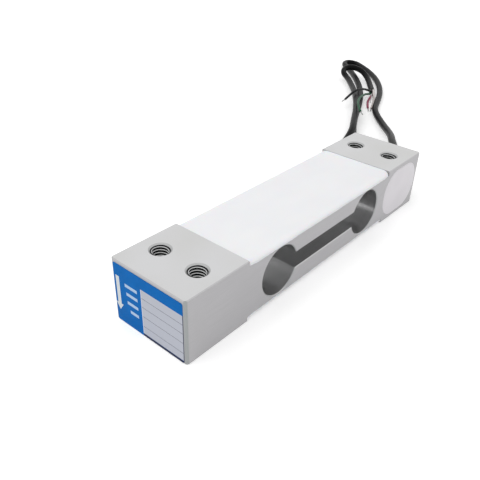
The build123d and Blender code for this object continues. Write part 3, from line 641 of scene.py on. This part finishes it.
def place_camera():
    azimuth, elevation, roll = np.radians([CAMERA_AZIMUTH, CAMERA_ELEVATION, CAMERA_ROLL])
    forward = np.array([np.sin(azimuth) * np.cos(elevation), np.cos(azimuth) * np.cos(elevation),
                        np.sin(elevation)])
    level = np.array([np.cos(azimuth), -np.sin(azimuth), 0])
    upright = np.cross(level, forward)
    right = level * np.cos(roll) + upright * np.sin(roll)
    up = upright * np.cos(roll) - level * np.sin(roll)
    data = bpy.data.cameras.new("photo_camera")
    data.lens = CAMERA_LENS
    data.sensor_width = 36.0
    camera = bpy.data.objects.new("photo_camera", data)
    turn = Matrix([list(row) for row in np.stack([right, up, -forward], axis=1)]).to_4x4()
    camera.matrix_world = Matrix.Translation(Vector(CAMERA_PLACE) * MM) @ turn
    bpy.context.scene.collection.objects.link(camera)
    bpy.context.scene.camera = camera


def lamp(name, place, power, size):
    """Soft square lamp that points at the beam's middle. Place and size are in metres. The metal
    mirrors the white surroundings alone: with the lamp added to them it would clip to white."""
    data = bpy.data.lights.new(name, "AREA")
    data.energy = power
    data.size = size
    light = bpy.data.objects.new(name, data)
    light.visible_glossy = False
    light.location = place
    light.rotation_euler = (-Vector(place)).to_track_quat("-Z", "Y").to_euler()
    bpy.context.scene.collection.objects.link(light)


def light_the_studio():
    """White surroundings, and one large soft lamp above the label's end."""
    world = bpy.data.worlds.new("studio")
    bpy.context.scene.world = world
    world.use_nodes = True
    tree = world.node_tree
    tree.nodes.clear()
    strength = add(tree, "ShaderNodeMapRange", {"Value": seen_straight(tree), "To Min": SKY_LIGHT})
    glow = add(tree, "ShaderNodeBackground", {"Color": (1, 1, 1, 1), "Strength": strength})
    add(tree, "ShaderNodeOutputWorld", {"Surface": glow})
    lamp("key_lamp", (-0.28, 0.16, 0.6), KEY_POWER, 0.6)
    mesh = bpy.data.meshes.new("floor_sheet")
    corners = [(-1, -1), (1, -1), (1, 1), (-1, 1)]
    places = [(FLOOR_REACH * x, FLOOR_REACH * y, 0) for x, y in corners]
    mesh.from_pydata(places, [], [(0, 1, 2, 3)])
    mesh.materials.append(studio_floor())
    floor = bpy.data.objects.new("floor_sheet", mesh)
    bpy.context.scene.collection.objects.link(floor)


def paint_frame():
    """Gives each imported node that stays, in sight or inside, its real finish. Returns the four
    finishes of the cores' insulation."""
    insulation = {colour: plain_polymer(f"{colour}_pvc", *shades, 0.45, 0.2) for colour, shades in {
        "white": ("#D2CBC8", "#DED7D4"), "red": ("#A0405C", "#AE4C69"),
        "green": ("#174A30", "#1F573A"), "black": ("#0F0F11", "#18181A")}.items()}
    copper = drawn_metal("enamelled_copper", "#8E4A24", "#A85C30", 0.3)
    solder = drawn_metal("flowed_solder", "#A9AAAA", "#C3C4C3", 0.35)
    chip = plain_polymer("moulded_chip", "#17181A", "#232528", 0.5)
    film = gauge_film()
    finishes = {
        "spring_element": anodised_aluminium(),
        "upper_bridge_wires": copper, "lower_bridge_wires": copper,
        "gauge_top_live": film, "gauge_top_fixed": film, "gauge_bottom_live": film,
        "gauge_bottom_fixed": film, "upper_terminal_strip": film, "lower_terminal_strip": film,
        "balance_resistor": chip, "modulus_resistor": chip, "span_trim_resistor": chip,
        "zero_trim_resistor": chip,
        "pocket_board": plain_polymer("glass_fibre_board", "#1C5A33", "#27683D", 0.45),
        "pocket_solder_joints": solder,
        "pocket_potting": plain_polymer("potting_silicone", "#BFC0C2", "#CBCCCE", 0.5),
        "cable_seal": plain_polymer("seal_rubber", "#141415", "#1E1E20", 0.6),
        "end_label": printed_label(),
    }
    finishes.update({f"inner_lead_{colour}": material for colour, material in insulation.items()})
    for node, material in finishes.items():
        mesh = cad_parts[node].data
        mesh.materials.clear()
        mesh.materials.append(material)
    return insulation


def lay_cable(insulation):
    """Jacket, drain wire, cores and bare ends. The drain wire sets out from the jacket's cut end,
    and each bare end carries on from its core's last run."""
    jacket_line = smooth_line("cable_jacket_line", CABLE_ROUTE)
    rings = round_rings(jacket_line, CABLE_RADIUS, CABLE_SIDES, CABLE_WALL, CABLE_RIPPLE,
                        len(CORE_ROUTES), CABLE_LAY)
    sheath = plain_polymer("jacket_pvc", "#08080A", "#0F0F10", 0.36, 0.07)
    jacket = dress(shell("cable", rings), sheath, ["cable_jacket"])
    tinned = drawn_metal("tinned_copper", "#9FA0A0", "#C9C9C8", 0.3)
    drain_line = smooth_line("drain_line", cut_end_route(0, 0, DRAIN_ROUTE))
    drain = dress(strand_bundle("drain_strands", drain_line, DRAIN_RADIUS, DRAIN_LAY), tinned,
                  ["drain_wire"])
    for colour, (corner, points) in CORE_ROUTES.items():
        route = cut_end_route(*corner, points)
        line = smooth_line(f"core_{colour}_line", route)
        core = dress(shell(f"insulated_core_{colour}", round_rings(line, CORE_RADIUS, CORE_SIDES)),
                     insulation[colour], [f"core_{colour}"])
        tip = dress(strand_bundle(f"bare_tip_{colour}", tip_line(route), TIP_RADIUS, TIP_LAY),
                    tinned, [f"core_tip_{colour}"])


place_camera()
light_the_studio()
lay_cable(paint_frame())
silicone = white_silicone()
dress(coat("upper_coat", True, 11), silicone, ["upper_gauge_coat"])
dress(coat("lower_coat", False, 23), silicone, ["lower_gauge_coat"])
dress(cover("pocket_cover_film"), satin_cover_film(), ["pocket_cover"])
tapped = tapped_aluminium()
for end, end_name in ((-1, "live"), (1, "fixed")):
    for side, side_name in ((-1, "near"), (1, "far")):
        dress(thread(f"thread_{end_name}_{side_name}", end * HOLE_X, side * HOLE_Y), tapped)

bpy.context.scene.view_settings.view_transform = "Standard"
